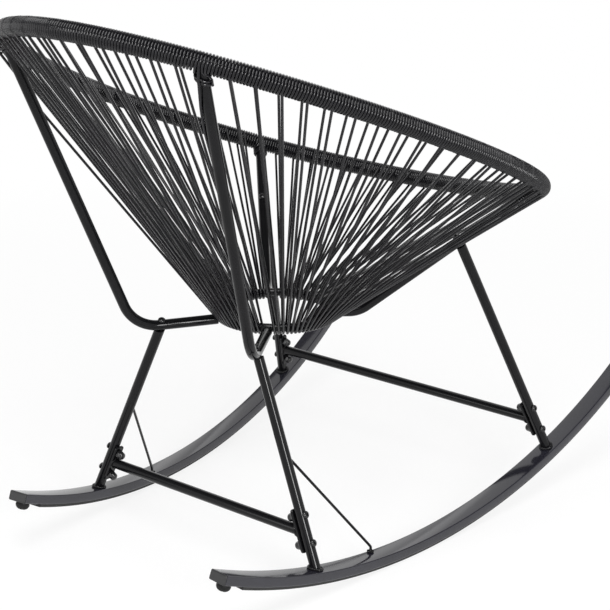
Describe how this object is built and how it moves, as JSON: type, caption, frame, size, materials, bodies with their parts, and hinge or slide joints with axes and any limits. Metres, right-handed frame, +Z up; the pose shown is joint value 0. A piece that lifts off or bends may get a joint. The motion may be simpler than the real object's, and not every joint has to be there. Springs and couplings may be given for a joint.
{
  "type": "rocking chair",
  "caption": "Outdoor rocking chair with a round leaning bowl seat of black cord strung from a cord-wound rim to a small lower ring, on splayed steel tube legs and bent rockers.",
  "frame": {"origin": "on the floor, under the middle of the chair's bounding box", "axes": "+Z up, -Y the way the sitter faces, +X the sitter's left"},
  "size_m": [0.7538, 0.9646, 0.7968],
  "materials": {
    "frame": "satin black powder coat",
    "cord": "satin black round cord",
    "rubber": "matt black rubber",
    "plug_plastic": "matt black plastic",
    "fastener": "black coated steel"
  },
  "bodies": {
    "root": {"bumper_left": "rubber", "bumper_right": "rubber", "cap_nut_front_left_1": "fastener", "cap_nut_front_left_2": "fastener", "cap_nut_front_right_1": "fastener", "cap_nut_front_right_2": "fastener", "cap_nut_rear_left_1": "fastener", "cap_nut_rear_left_2": "fastener", "cap_nut_rear_right_1": "fastener", "cap_nut_rear_right_2": "fastener", "cord_front_1": "cord", "cord_front_2": "cord", "cord_left_1": "cord", "cord_left_2": "cord", "cord_left_3": "cord", "cord_rear_1": "cord", "cord_rear_2": "cord", "cord_right_1": "cord", "cord_right_2": "cord", "cord_right_3": "cord", "crossbar_bolt_front_left_1": "fastener", "crossbar_bolt_front_left_2": "fastener", "crossbar_bolt_front_right_1": "fastener", "crossbar_bolt_front_right_2": "fastener", "crossbar_bolt_rear_left_1": "fastener", "crossbar_bolt_rear_left_2": "fastener", "crossbar_bolt_rear_right_1": "fastener", "crossbar_bolt_rear_right_2": "fastener", "front_crossbar": "frame", "front_plug_left": "plug_plastic", "front_plug_right": "plug_plastic", "lashing_front_left": "cord", "lashing_front_right": "cord", "lashing_rear_left": "cord", "lashing_rear_right": "cord", "post_front_left": "frame", "post_front_right": "frame", "post_rear_left": "frame", "post_rear_right": "frame", "rear_crossbar": "frame", "rear_plug_left": "plug_plastic", "rear_plug_right": "plug_plastic", "rim_hoop": "frame", "rocker_left": "frame", "rocker_right": "frame", "seat_bolt_front_left": "fastener", "seat_bolt_front_right": "fastener", "seat_bolt_rear_left": "fastener", "seat_bolt_rear_right": "fastener", "seat_ring": "frame", "seat_tube_front_left": "frame", "seat_tube_front_right": "frame", "seat_tube_rear_left": "frame", "seat_tube_rear_right": "frame", "stay_rod_left": "frame", "stay_rod_right": "frame", "wear_strip_left": "rubber", "wear_strip_right": "rubber"}
  },
  "joints": []
}
